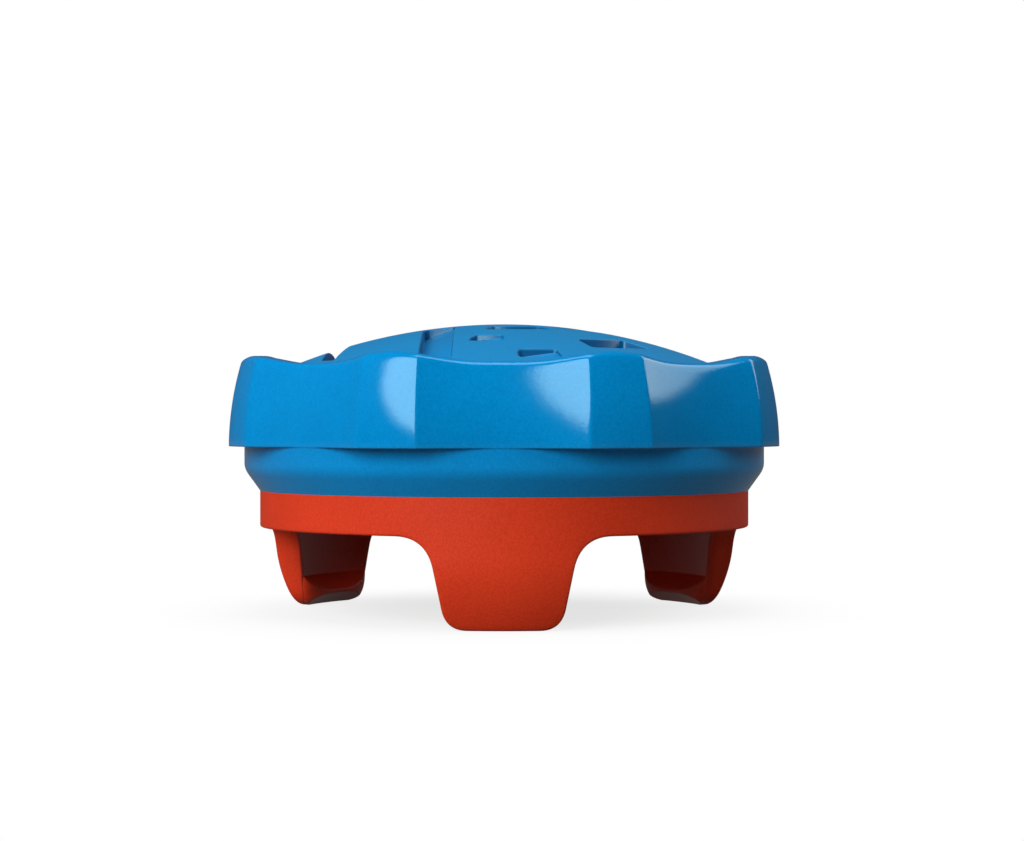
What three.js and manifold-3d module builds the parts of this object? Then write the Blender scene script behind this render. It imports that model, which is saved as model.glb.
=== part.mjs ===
// Clip-on grip for a controller's thumbstick: a soft domed cap with a scalloped rim, moulded onto a
// rigid base whose three hooked legs snap under the rim of the stick.
// Millimetres, +Z up. The origin is the centre of the plane that the three feet stand on, and one leg
// points towards -Y.

import * as THREE from "three";
import { mergeVertices } from "three/addons/utils/BufferGeometryUtils.js";
import Module from "manifold-3d";

const wasm = await Module();
wasm.setup();

// The thumbstick that the grip clips onto
const stickDiameter = 17.5;
const stickRimHeight = 4.4; // from the top of the stick to the underside of its rim
const stickClearance = 0.2; // around the stick

// Rigid base: the ring, the deck that closes it and the spigot that the cap is moulded around
const ringWall = 1.25;
const ringBelowDeck = 2.1; // from the deck's underside to the ring's lower edge
const deckThickness = 1.0;
const spigotWall = 0.65;
const spigotHeight = 1.6; // from the shoulder that carries the cap to the top of the deck
const bossRadius = 5.2; // shallow boss that centres the base in the dish of the stick
const bossDepth = 0.7;

// Hooked legs of the base
const legCount = 3;
const legHalfTop = 2.95; // half width where a leg leaves the ring
const legHalfFoot = 2.2;
const legFillet = 1.25;
const footCorner = 0.8;
const legBendHeight = 2.7; // the legs curl inwards below this
const footInset = 0.8; // the outside of the foot lies this far inside the outside of the ring
const footWidth = 0.35;
const barbHalfWidth = 1.3; // the hook is narrower than its leg
const barbReach = 0.55; // the hook stands in from the socket wall
const barbLeadHeight = 0.47; // lead-in slope below the tip of the hook
const barbTipHeight = 0.15;
const barbCatchHeight = 0.68; // slope above the tip that pulls the stick against the deck

// Holes through the deck, filled by the cap's keys
const keyCount = 6;
const keyDiameter = 1.6;
const keyPitchRadius = 6.8;
const bondGap = 0.03; // between the cap and the walls of the base that it is moulded around

// Soft cap: the band above the base and the scalloped rim
const bandHeight = 1.85;
const bandFlare = 0.65; // the band stands out from the ring
const bandTaperHeight = 0.65; // straight taper that rises from the ring
const bandRoundHeight = 0.5; // rounding between the taper and the upright of the band
const lobeCount = 8;
const lobeReach = 0.8; // the lobes stand out from the band
const lobeHeight = 3.65; // from the underside of the rim to the top of a lobe
const lobeWidthLow = 2.57; // width of a lobe's face along its lower edge
const lobeWidthHigh = 2.2;
const barrelRadius = 12.1; // the rim's outer face curves inwards as it rises
const scallopProud = 0.02; // how far the deepest line of a scallop still stands out from the band
const scallopDip = 0.37; // the rim's top edge falls this much between two lobes
const crestSharpness = 1.75; // higher gives narrower crests on the lobes
const edgeRadius = 0.3; // rounded top edge of the rim
const crestWidth = 0.4; // level land behind that edge

// Domed top
const domeRadius = 23.3;
const domeAboveLobes = 1.42;
const domeFoot = 8.7; // where the dome starts to turn up into the rim

// Tread of the dome: straight channels, with arcs, notches and slots on circles round the axis between
// them. Each pocket has upright walls and a floor that ramps up from its deep side to its shallow side,
// and is repeated round the axis. Angles are in degrees from +X.
const treadTurns = 3;
const slotTurns = 2; // of the slot and the outer notch: the side cut takes their third place
const pocketCorner = 0.12;
const channel = { left: -3.3, right: -2.0, near: -8.2, far: -0.9, deep: 0.5, shallow: 0.12 };
const crownArc = { inner: 2.6, outer: 3.9, start: 258, end: 303, deep: 0.26, shallow: 0.08 };
const innerNotch = { inner: 5.3, outer: 6.3, start: 257, end: 270, deep: 0.32, shallow: 0.1 };
const outerNotch = { inner: 7.5, outer: 8.4, start: 274, end: 286, deep: 0.34, shallow: 0.1 };
const slot = { inner: 5.9, outer: 7.2, start: 299, end: 324, deep: 0.36, shallow: 0.36 };

// Side cut: a straight groove across one side of the dome, which shows as a notch in its outline
const cutWall = 7.3; // from the axis to its upright outer wall
const cutFloorWidth = 0.52;
const cutSlopeWidth = 0.42; // of its sloping inner wall
const cutDepth = 0.74; // from the top of the slope to the level floor

// Facets
const roundSides = 96;
const holeSides = 16;
const scallopSteps = 12;
const lobeSteps = 4;
const riseSteps = 5;
const edgeSteps = 3;
const crownSteps = 5;
const domeSteps = 7;
const bendSteps = 5;
const bossSteps = 4;
const pocketSides = 120;
const pocketFacet = 0.9; // across a pocket's floor

// Heights, from the feet up
const barbTop = barbLeadHeight + barbTipHeight;
const catchHeight = barbTop + barbCatchHeight;
const deckUnderside = catchHeight + stickRimHeight;
const deckTop = deckUnderside + deckThickness;
const ringBottom = deckUnderside - ringBelowDeck;
const shoulder = deckTop - spigotHeight;
const rimBottom = shoulder + bandHeight;
const lobeTop = rimBottom + lobeHeight;
const domeTop = lobeTop + domeAboveLobes;
const domeCentre = domeTop - domeRadius;

// Radii
const socketRadius = stickDiameter / 2 + stickClearance;
const ringRadius = socketRadius + ringWall;
const spigotRadius = socketRadius + spigotWall;
const bandRadius = ringRadius + bandFlare;
const lobeRadius = bandRadius + lobeReach;
const scallopRadius = bandRadius + scallopProud;

const halfPitch = Math.PI / lobeCount;
const mix = (a, b, share) => a + (b - a) * share;
const ease = (share) => share * share * (3 - 2 * share);

function solidOf(geometry) {
  const bare = geometry.clone();
  bare.deleteAttribute("normal");
  bare.deleteAttribute("uv");
  const merged = mergeVertices(bare, 1e-5);
  return new wasm.Manifold(
    new wasm.Mesh({
      numProp: 3,
      vertProperties: new Float32Array(merged.attributes.position.array),
      triVerts: new Uint32Array(merged.index.array),
    }),
  );
}

function geometryOf(solid) {
  const mesh = solid.getMesh();
  const geometry = new THREE.BufferGeometry();
  geometry.setAttribute("position", new THREE.BufferAttribute(mesh.vertProperties, 3));
  geometry.setIndex(new THREE.BufferAttribute(mesh.triVerts, 1));
  geometry.computeVertexNormals();
  return geometry;
}

// Turns an outline of [radius, height] points about +Z. The outline runs from the top of the axis down
// the inside and back up the outside, or closes on itself the same way round.
function revolve(outline, sides) {
  const points = outline.map(([radius, height]) => new THREE.Vector2(radius, height));
  return new THREE.LatheGeometry(points, sides).rotateX(Math.PI / 2);
}

// Copies a geometry evenly round +Z
function around(geometry, count) {
  return Array.from({ length: count }, (_, turn) =>
    geometry.clone().rotateZ((turn * 2 * Math.PI) / count),
  );
}

// How far the barrel-shaped outer face of the rim has drawn in at a height
function barrelDraw(height) {
  const rise = height - rimBottom;
  return barrelRadius - Math.sqrt(barrelRadius ** 2 - rise ** 2);
}

function domeHeight(radius) {
  return domeCentre + Math.sqrt(domeRadius ** 2 - radius ** 2);
}

// Half the angle that a lobe's face covers at a height
function lobeHalfAngle(height) {
  const width = mix(lobeWidthLow, lobeWidthHigh, (height - rimBottom) / lobeHeight);
  return Math.asin(width / 2 / (lobeRadius - barrelDraw(height)));
}

// Where a column stands at a height: its angle from the lobe's centre line, and the rim's radius there.
// Columns -lobeSteps/2 to lobeSteps/2 lie on the lobe's face, and the rest cross the scallop.
function rimPoint(column, height) {
  const half = lobeHalfAngle(height);
  const faceRadius = lobeRadius - barrelDraw(height);
  const edge = lobeSteps / 2;
  if (column <= edge) return { angle: (half * column) / edge, radius: faceRadius };
  const across = halfPitch - half;
  const fromValley = across * ((2 * (column - edge)) / scallopSteps - 1);
  const valley = scallopRadius - barrelDraw(height);
  const sagitta = faceRadius * Math.cos(across) - valley;
  const scoop = ((faceRadius * Math.sin(across)) ** 2 + sagitta ** 2) / (2 * sagitta);
  const centre = valley + scoop;
  const radius =
    centre * Math.cos(fromValley) - Math.sqrt(scoop ** 2 - (centre * Math.sin(fromValley)) ** 2);
  return { angle: halfPitch + fromValley, radius };
}

// Height of the rim's crest at an angle from the lobe's centre line
function crestHeight(angle) {
  const wave = (1 + Math.cos(angle * lobeCount)) / 2;
  return lobeTop - scallopDip * (1 - wave ** crestSharpness);
}

// One radial section of the cap, as [angle, radius, height] points from the roof of the cavity that
// holds the spigot, under the cap, up the outside and over the rim to the top of the dome
function capSection(column) {
  const lean = Math.asin(lobeHeight / barrelRadius);
  const nominal = rimPoint(column, lobeTop).angle;
  const crest = crestHeight(nominal);
  const faceTop = crest - edgeRadius * (1 - Math.sin(lean));
  const section = [];
  const cavity = spigotRadius + bondGap;
  section.push([nominal, cavity, deckTop]);
  section.push([nominal, cavity, shoulder]);
  section.push([nominal, ringRadius, shoulder]);
  const taperTop = shoulder + bandTaperHeight;
  const roundTop = taperTop + bandRoundHeight;
  const taperReach = (bandFlare * bandTaperHeight) / (bandTaperHeight + bandRoundHeight / 2);
  for (let step = 0; step <= edgeSteps; step++) {
    const share = step / edgeSteps;
    const out = mix(taperReach, bandFlare, 1 - (1 - share) ** 2);
    section.push([nominal, ringRadius + out, mix(taperTop, roundTop, share)]);
  }
  section.push([nominal, bandRadius, rimBottom]);
  for (let step = 0; step <= riseSteps; step++) {
    const height = mix(rimBottom, faceTop, step / riseSteps);
    const { angle, radius } = rimPoint(column, height);
    section.push([angle, radius, height]);
  }
  const face = rimPoint(column, faceTop);
  for (let step = 1; step <= edgeSteps; step++) {
    const turn = mix(lean, Math.PI / 2, step / edgeSteps);
    const radius = face.radius - edgeRadius * (Math.cos(lean) - Math.cos(turn));
    section.push([face.angle, radius, faceTop + edgeRadius * (Math.sin(turn) - Math.sin(lean))]);
  }
  const ridge = face.radius - edgeRadius * Math.cos(lean) - crestWidth;
  for (let step = 0; step <= crownSteps; step++) {
    const share = 1 - step / crownSteps;
    const radius = mix(domeFoot, ridge, share);
    section.push([face.angle, radius, mix(domeHeight(radius), crest, ease(share))]);
  }
  for (let step = 1; step < domeSteps; step++) {
    const radius = domeFoot * (1 - step / domeSteps);
    section.push([face.angle, radius, domeHeight(radius)]);
  }
  return section;
}

// Skins the radial sections all round the cap and closes them on the axis
function capBody() {
  const columns = [];
  for (let lobe = 0; lobe < lobeCount; lobe++) {
    for (let step = 0; step < lobeSteps + scallopSteps; step++) {
      const lobeCentre = (2 * lobe + 1) * halfPitch;
      columns.push(
        capSection(step - lobeSteps / 2).map(([angle, radius, height]) => [
          radius * Math.cos(lobeCentre + angle),
          radius * Math.sin(lobeCentre + angle),
          height,
        ]),
      );
    }
  }
  const rows = columns[0].length;
  const vertices = [...columns.flat(), [0, 0, deckTop], [0, 0, domeTop]];
  const lowPole = vertices.length - 2;
  const highPole = vertices.length - 1;
  const triangles = [];
  columns.forEach((_, index) => {
    const here = index * rows;
    const next = ((index + 1) % columns.length) * rows;
    triangles.push(lowPole, next, here);
    for (let row = 0; row < rows - 1; row++) {
      triangles.push(here + row, next + row, next + row + 1);
      triangles.push(here + row, next + row + 1, here + row + 1);
    }
    triangles.push(here + rows - 1, next + rows - 1, highPole);
  });
  const geometry = new THREE.BufferGeometry();
  geometry.setAttribute("position", new THREE.Float32BufferAttribute(vertices.flat(), 3));
  geometry.setIndex(triangles);
  return geometry;
}

// Upright pin from one height to another, round the axis of one of the deck's holes
function keyPin(diameter, low, high) {
  return new THREE.CylinderGeometry(diameter / 2, diameter / 2, high - low, holeSides)
    .rotateX(Math.PI / 2)
    .translate(keyPitchRadius, 0, (low + high) / 2);
}

// A rectangle with rounded corners, drawn in plan
function rectanglePlan({ left, right, near, far }) {
  const shape = new THREE.Shape();
  const corner = pocketCorner;
  shape.absarc(right - corner, near + corner, corner, -Math.PI / 2, 0);
  shape.absarc(right - corner, far - corner, corner, 0, Math.PI / 2);
  shape.absarc(left + corner, far - corner, corner, Math.PI / 2, Math.PI);
  shape.absarc(left + corner, near + corner, corner, Math.PI, (3 * Math.PI) / 2);
  return shape;
}

// A stretch of a ring round the axis, drawn in plan
function arcPlan({ inner, outer, start, end }) {
  const from = THREE.MathUtils.degToRad(start);
  const to = THREE.MathUtils.degToRad(end);
  const shape = new THREE.Shape();
  shape.absarc(0, 0, outer, from, to, false);
  shape.absarc(0, 0, inner, to, from, true);
  return shape;
}

// What a pocket takes out of the dome: its plan shape, down to a floor that keeps its depth below the
// dome. The floor is a ring turned about the level line through the dome's centre.
function pocketCutters(shape, curveSegments, { deep, shallow }, turns = treadTurns) {
  const reach = shape.getPoints(curveSegments).map((point) => point.x);
  const left = Math.min(...reach);
  const right = Math.max(...reach);
  const above = domeRadius + 1;
  const margin = 0.2;
  const slope = (shallow - deep) / (right - left);
  const floor = (x) => Math.sqrt(domeRadius ** 2 - x ** 2) - (deep + slope * (x - left));
  const low = left - margin;
  const high = right + margin;
  const steps = Math.ceil((high - low) / pocketFacet);
  const outline = [new THREE.Vector2(floor(low), low), new THREE.Vector2(above, low)];
  outline.push(new THREE.Vector2(above, high));
  for (let step = 0; step <= steps; step++) {
    const x = mix(high, low, step / steps);
    outline.push(new THREE.Vector2(floor(x), x));
  }
  const ring = new THREE.LatheGeometry(outline, pocketSides)
    .rotateZ(-Math.PI / 2)
    .translate(0, 0, domeCentre);
  const plan = new THREE.ExtrudeGeometry(shape, {
    depth: domeTop + 1 - deckTop,
    bevelEnabled: false,
    curveSegments,
  }).translate(0, 0, deckTop);
  const pocket = geometryOf(solidOf(ring).intersect(solidOf(plan)));
  return around(pocket, treadTurns).slice(0, turns).map(solidOf);
}

// The side cut runs along Y, and runs out where the dome falls below its floor
function sideCutter() {
  const floorEdge = cutWall - cutFloorWidth;
  const slopeTop = floorEdge - cutSlopeWidth;
  const top = domeHeight(slopeTop);
  const floor = top - cutDepth;
  const reach = Math.sqrt(domeRadius ** 2 - (floor - domeCentre) ** 2 - floorEdge ** 2);
  const shape = new THREE.Shape();
  shape.moveTo(-cutWall, floor);
  shape.lineTo(-floorEdge, floor);
  shape.lineTo(cutSlopeWidth - slopeTop, top + cutDepth);
  shape.lineTo(-cutWall, top + cutDepth);
  const groove = new THREE.ExtrudeGeometry(shape, { depth: 2 * reach, bevelEnabled: false })
    .rotateX(Math.PI / 2)
    .translate(0, reach, 0);
  return solidOf(groove);
}

function softCap() {
  let solid = solidOf(capBody());
  const cutters = pocketCutters(rectanglePlan(channel), 3, channel);
  for (const arc of [crownArc, innerNotch]) cutters.push(...pocketCutters(arcPlan(arc), 6, arc));
  for (const arc of [outerNotch, slot])
    cutters.push(...pocketCutters(arcPlan(arc), 6, arc, slotTurns));
  cutters.push(sideCutter());
  for (const cutter of cutters) solid = solid.subtract(cutter);
  const keyRoot = deckTop + deckThickness / 2;
  for (const pin of around(keyPin(keyDiameter - 2 * bondGap, deckUnderside, keyRoot), keyCount))
    solid = solid.add(solidOf(pin));
  return solid;
}

// The ring, deck and spigot as one revolved cup, with the boss under the deck
function baseCup() {
  const boss = [];
  const bossSphere = (bossRadius ** 2 + bossDepth ** 2) / (2 * bossDepth);
  for (let step = 0; step <= bossSteps; step++) {
    const radius = (bossRadius * step) / bossSteps;
    const depth = Math.sqrt(bossSphere ** 2 - radius ** 2) - (bossSphere - bossDepth);
    boss.push([radius, deckUnderside - depth]);
  }
  return revolve(
    [
      ...boss,
      [socketRadius, deckUnderside],
      [socketRadius, ringBottom],
      [ringRadius, ringBottom],
      [ringRadius, shoulder],
      [spigotRadius, shoulder],
      [spigotRadius, deckTop],
      [0, deckTop],
    ],
    roundSides,
  );
}

// The section that all three legs share, turned all the way round, without its hook
function legSkirt() {
  const top = ringBottom + ringWall / 4;
  const foot = ringRadius - footInset;
  const bend = new THREE.QuadraticBezierCurve(
    new THREE.Vector2(ringRadius, legBendHeight),
    new THREE.Vector2(ringRadius, legBendHeight / 2),
    new THREE.Vector2(foot, 0),
  );
  return revolve(
    [
      [socketRadius, top],
      [socketRadius, barbLeadHeight],
      [foot - footWidth, 0],
      ...bend
        .getPoints(bendSteps)
        .reverse()
        .map((point) => [point.x, point.y]),
      [ringRadius, top],
      [socketRadius, top],
    ],
    roundSides,
  );
}

// The section of the hooks, turned all the way round and rooted in the wall of the legs
function barbSkirt() {
  const barb = socketRadius - barbReach;
  const sole = ringRadius - footInset - footWidth;
  const root = footWidth / 2;
  return revolve(
    [
      [socketRadius + root, catchHeight],
      [socketRadius, catchHeight],
      [barb, barbTop],
      [barb, barbLeadHeight],
      [sole, 0],
      [sole + root, root],
      [socketRadius + root, catchHeight],
    ],
    roundSides,
  );
}

// A leg's outline, drawn looking at it from outside: filleted into the ring, with rounded foot corners
function legOutline() {
  const side = new THREE.Vector2(legHalfFoot - legHalfTop, -ringBottom).normalize();
  const top = ringBottom + ringWall / 4;
  const below = -1; // past the foot, so that the foot keeps the section's own flat
  const filletEnd = [legHalfTop + side.x * legFillet, ringBottom + side.y * legFillet];
  const cornerStart = [legHalfFoot - side.x * footCorner, -side.y * footCorner];
  const flat = legHalfFoot - footCorner;
  const shape = new THREE.Shape();
  shape.moveTo(-flat, below);
  shape.lineTo(flat, below);
  shape.lineTo(flat, 0);
  shape.quadraticCurveTo(legHalfFoot, 0, ...cornerStart);
  shape.lineTo(...filletEnd);
  shape.quadraticCurveTo(legHalfTop, ringBottom, legHalfTop + legFillet, ringBottom);
  shape.lineTo(legHalfTop + legFillet, top);
  shape.lineTo(-legHalfTop - legFillet, top);
  shape.lineTo(-legHalfTop - legFillet, ringBottom);
  shape.quadraticCurveTo(-legHalfTop, ringBottom, -filletEnd[0], filletEnd[1]);
  shape.lineTo(-cornerStart[0], cornerStart[1]);
  shape.quadraticCurveTo(-legHalfFoot, 0, -flat, 0);
  return shape;
}

function clipBase() {
  let solid = solidOf(baseCup());
  const skirt = solidOf(legSkirt());
  const reach = ringRadius + 1;
  const plate = new THREE.ExtrudeGeometry(legOutline(), {
    depth: reach - socketRadius / 2,
    bevelEnabled: false,
    curveSegments: 6,
  })
    .rotateX(Math.PI / 2)
    .translate(0, -socketRadius / 2, 0);
  for (const leg of around(plate, legCount)) solid = solid.add(skirt.intersect(solidOf(leg)));
  const barbs = solidOf(barbSkirt());
  const block = new THREE.BoxGeometry(2 * barbHalfWidth, reach, 2 * deckTop).translate(0, -reach / 2, 0);
  for (const barb of around(block, legCount)) solid = solid.add(barbs.intersect(solidOf(barb)));
  for (const hole of around(keyPin(keyDiameter, deckUnderside - 1, deckTop + 1), keyCount))
    solid = solid.subtract(solidOf(hole));
  return solid;
}

function piece(name, solid, colour, roughness) {
  const material = new THREE.MeshStandardMaterial({ color: colour, roughness, metalness: 0 });
  const mesh = new THREE.Mesh(geometryOf(solid), material);
  mesh.name = name;
  return mesh;
}

const grip = new THREE.Group();
grip.add(piece("soft_cap", softCap(), 0x0086cc, 0.42));
grip.add(piece("clip_base", clipBase(), 0xd63a1f, 0.5));

export default grip;
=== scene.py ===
import math

import bmesh
import bpy
import numpy as np
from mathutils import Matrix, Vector
from mathutils.geometry import delaunay_2d_cdt


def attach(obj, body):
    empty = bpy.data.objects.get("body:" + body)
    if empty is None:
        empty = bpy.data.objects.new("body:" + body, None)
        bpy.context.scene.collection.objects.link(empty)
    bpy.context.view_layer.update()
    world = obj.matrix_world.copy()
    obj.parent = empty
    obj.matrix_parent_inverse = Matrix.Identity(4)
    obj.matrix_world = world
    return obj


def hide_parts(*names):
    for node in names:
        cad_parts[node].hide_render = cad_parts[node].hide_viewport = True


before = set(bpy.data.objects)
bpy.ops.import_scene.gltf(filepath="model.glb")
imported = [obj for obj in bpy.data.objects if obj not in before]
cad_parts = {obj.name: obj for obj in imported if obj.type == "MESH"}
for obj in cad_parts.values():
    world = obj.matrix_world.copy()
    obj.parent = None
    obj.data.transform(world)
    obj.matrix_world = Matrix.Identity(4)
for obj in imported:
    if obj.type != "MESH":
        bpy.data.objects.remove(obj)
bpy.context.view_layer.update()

scene = bpy.context.scene
mm = 0.001

# Heights above the feet and radii that both mouldings share, in millimetres
grip = {
    "ringRadius": 10.2,
    "socketRadius": 8.95,
    "spigotRadius": 9.6,
    "bondGap": 0.03,
    "ringBottom": 3.6,
    "shoulder": 5.1,
    "deckUnderside": 5.7,
    "deckTop": 6.7,
    "keyCount": 6,
    "keyRadius": 0.8,
    "keyPitchRadius": 6.8,
}
meshing = {
    "weld": 0.0008,  # millimetres; points closer than this become one
    "shortestEdge": 0.0004,
    "sharpAngle": 50,  # degrees; a steeper edge isn't smoothed over
}


def linearColour(hexCode):
    channels = [int(hexCode[i : i + 2], 16) / 255 for i in (1, 3, 5)]
    linear = [c / 12.92 if c <= 0.04045 else ((c + 0.055) / 1.055) ** 2.4 for c in channels]
    return (*linear, 1.0)


def addNode(tree, kind, settings=None, links=None):
    node = tree.nodes.new(kind)
    for name, value in (settings or {}).items():
        if isinstance(name, int) or name in node.inputs:
            node.inputs[name].default_value = value
        else:
            setattr(node, name, value)
    for name, source in (links or {}).items():
        tree.links.new(source, node.inputs[name])
    return node


def mix(a, b, share):
    return a + (b - a) * share


def ease(share):
    return share * share * (3 - 2 * share)


def onCircle(radius, angle):
    return np.stack([radius * np.cos(angle), radius * np.sin(angle)], axis=-1)


def turnBy(step, count):
    # Matrix that turns rows of points about the axis by some steps, of which count make a whole circle
    angle = 2 * math.pi * step / count
    cosine, sine = math.cos(angle), math.sin(angle)
    return np.array([[cosine, sine, 0], [-sine, cosine, 0], [0, 0, 1]])


# A rounded edge's quarter circle, as shares of its radius: from (1, 0) on one face to (0, 1) on the next
edgeArc = [(1 - math.sin(t), 1 - math.cos(t)) for t in np.linspace(0, math.pi / 2, 5)]
aroundKey = np.linspace(0, 2 * math.pi, 33)[:-1]
keyTurns = [2 * math.pi * key / grip["keyCount"] for key in range(grip["keyCount"])]
keyMiddles = [onCircle(grip["keyPitchRadius"], turn) for turn in keyTurns]


class Skin:
    # Collects points in millimetres and faces, then welds them into one mesh

    def __init__(self):
        self.points = []
        self.faces = []

    def addPoints(self, points):
        first = len(self.points)
        self.points.extend(tuple(map(float, p)) for p in points)
        return list(range(first, len(self.points)))

    def addGrid(self, rows, closed=True):
        # Faces between neighbouring rows, each an array of 3D points
        ids = [self.addPoints(row) for row in rows]
        count = len(ids[0])
        for low, high in zip(ids, ids[1:]):
            for i in range(count if closed else count - 1):
                j = (i + 1) % count
                self.faces.append((low[i], low[j], high[j], high[i]))
        return ids

    def addFlat(self, flatPoints, chains, lift, keep):
        # Fills a plane outline with triangles, drops those that keep() refuses and lifts the rest into
        # place. lift() gets the plane points, each with the number that it has in flatPoints. A point
        # made where lines cross has none, and gets -1, which stands for the last point.
        edges = [(a, b) for chain in chains for a, b in zip(chain, chain[1:])]
        coords = [Vector(p) for p in flatPoints]
        made, _, triangles, origins, _, _ = delaunay_2d_cdt(coords, edges, [], 0, 1e-6)
        flat = np.array([tuple(v) for v in made])
        source = [o[0] if o else -1 for o in origins]
        ids = self.addPoints(lift(flat, source))
        corners = np.array([t for t in triangles if len(t) == 3])
        wanted = keep(flat[corners].mean(axis=1))
        for corner in corners[wanted]:
            self.faces.append(tuple(ids[c] for c in corner))

    def build(self, name, material, node):
        mesh = bpy.data.meshes.new(name)
        mesh.from_pydata([tuple(c * mm for c in p) for p in self.points], [], self.faces)
        work = bmesh.new()
        work.from_mesh(mesh)
        bmesh.ops.remove_doubles(work, verts=work.verts, dist=meshing["weld"] * mm)
        bmesh.ops.dissolve_degenerate(work, edges=work.edges, dist=meshing["shortestEdge"] * mm)
        loose = [v for v in work.verts if not v.link_faces]
        bmesh.ops.delete(work, geom=loose, context="VERTS")
        bmesh.ops.recalc_face_normals(work, faces=work.faces)
        openEdges = sum(1 for e in work.edges if not e.is_manifold)
        print(name, "faces", len(work.faces), "open edges", openEdges)
        work.to_mesh(mesh)
        work.free()
        mesh.shade_smooth()
        mesh.set_sharp_from_angle(angle=math.radians(meshing["sharpAngle"]))
        mesh.materials.append(material)
        piece = bpy.data.objects.new(name, mesh)
        scene.collection.objects.link(piece)
        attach(piece, "root")
        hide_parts(node)


def insideOf(outline, points):
    # True where a point lies inside a closed outline
    x, y = points[:, 0][:, None], points[:, 1][:, None]
    x0, y0 = outline[:, 0], outline[:, 1]
    x1, y1 = np.roll(x0, -1), np.roll(y0, -1)
    rise = np.where(y1 == y0, 1e-12, y1 - y0)
    crossed = ((y0 > y) != (y1 > y)) & (x < x0 + (y - y0) * (x1 - x0) / rise)
    return crossed.sum(axis=1) % 2 == 1


def distanceTo(outline, points):
    # Distance from each point to a closed outline
    a = outline[None]
    b = np.roll(outline, -1, axis=0)[None]
    p = points[:, None]
    along = b - a
    share = ((p - a) * along).sum(-1) / np.maximum((along**2).sum(-1), 1e-12)
    nearest = a + along * np.clip(share, 0, 1)[..., None]
    return np.sqrt(((p - nearest) ** 2).sum(-1)).min(axis=1)


cap = {
    "bandRadius": 10.85,
    "bandHeight": 1.85,
    "taperHeight": 0.65,
    "roundHeight": 0.5,
    "lobeCount": 8,
    "lobeReach": 0.8,
    "lobeHeight": 3.65,
    "lobeWidthLow": 2.57,
    "lobeWidthHigh": 2.2,
    "barrelRadius": 12.1,
    "scallopProud": 0.02,
    "scallopDip": 0.37,
    "crestSharpness": 1.75,
    "edgeRadius": 0.3,
    "crestWidth": 0.4,
    "creaseSoftness": 0.035,  # rounds the crease between a lobe's face and its scallop
    "lowerEdge": 0.04,  # rounds the rim's lower edge
    "domeRadius": 23.3,
    "domeAboveLobes": 1.42,
    "domeFoot": 8.7,
    "fillRadius": 9.0,  # inside this circle the top is drawn as one flat sheet and lifted
    "faceRows": 18,
    "topEdgeRows": 8,
    "sweepRows": 20,
}
rimBottom = grip["shoulder"] + cap["bandHeight"]
lobeTop = rimBottom + cap["lobeHeight"]
domeCentre = lobeTop + cap["domeAboveLobes"] - cap["domeRadius"]
lobeRadius = cap["bandRadius"] + cap["lobeReach"]
halfPitch = math.pi / cap["lobeCount"]
faceLean = math.asin(cap["lobeHeight"] / cap["barrelRadius"])  # of the rim's outer face, at its top

# Columns of one lobe and the scallop after it: shares of the half face, then of the half scallop. They
# crowd together at the creases.
faceEdge = np.array([1, 0.985, 0.96, 0.9])
faceShares = np.concatenate([-faceEdge, np.linspace(-0.75, 0.75, 7), faceEdge[:0:-1]])
scallopEdge = np.array([1, 0.994, 0.984, 0.965, 0.93])
scallopShares = np.concatenate([-scallopEdge, np.linspace(-0.86, 0.86, 25), scallopEdge[:0:-1]])
onFace = np.arange(len(faceShares) + len(scallopShares)) < len(faceShares)
columnShare = np.concatenate([faceShares, scallopShares])


def barrelDraw(height):
    rise = height - rimBottom
    return cap["barrelRadius"] - np.sqrt(cap["barrelRadius"] ** 2 - rise**2)


def domeHeight(radius):
    return domeCentre + np.sqrt(cap["domeRadius"] ** 2 - radius**2)


def rimAt(height):
    # Angle from the lobe's centre line and radius of each column of the rim's outer face at a height
    height = height + 0 * columnShare
    faceRadius = lobeRadius - barrelDraw(height)
    width = mix(cap["lobeWidthLow"], cap["lobeWidthHigh"], (height - rimBottom) / cap["lobeHeight"])
    half = np.arcsin(width / 2 / faceRadius)
    across = halfPitch - half
    angle = np.where(onFace, half * columnShare, halfPitch + across * columnShare)
    fromValley = np.where(onFace, halfPitch - half * np.abs(columnShare), across * np.abs(columnShare))
    valley = cap["bandRadius"] + cap["scallopProud"] - barrelDraw(height)
    sagitta = faceRadius * np.cos(across) - valley
    scoop = ((faceRadius * np.sin(across)) ** 2 + sagitta**2) / (2 * sagitta)
    centre = valley + scoop
    cut = centre * np.cos(fromValley) - np.sqrt(scoop**2 - (centre * np.sin(fromValley)) ** 2)
    soft = cap["creaseSoftness"]
    near = np.maximum(soft - np.abs(faceRadius - cut), 0) / soft
    return angle, np.minimum(faceRadius, cut) - near**2 * soft / 4


def crestHeight(angle):
    wave = (1 + np.cos(angle * cap["lobeCount"])) / 2
    return lobeTop - cap["scallopDip"] * (1 - wave ** cap["crestSharpness"])


def rimTop():
    # For each column, its angle, the radius and height where the rim's face ends, the crest's height and
    # the radius of the ridge behind it
    crest = crestHeight(rimAt(lobeTop)[0])
    faceTop = crest - cap["edgeRadius"] * (1 - math.sin(faceLean))
    angle, radius = rimAt(faceTop)
    ridge = radius - cap["edgeRadius"] * math.cos(faceLean) - cap["crestWidth"]
    return angle, radius, faceTop, crest, ridge


def topHeight(radius, crest, ridge):
    # The dome, and outside its foot the sweep up to the ridge
    share = np.clip((radius - cap["domeFoot"]) / (ridge - cap["domeFoot"]), 0, 1)
    return mix(domeHeight(radius), crest, ease(share))


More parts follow.
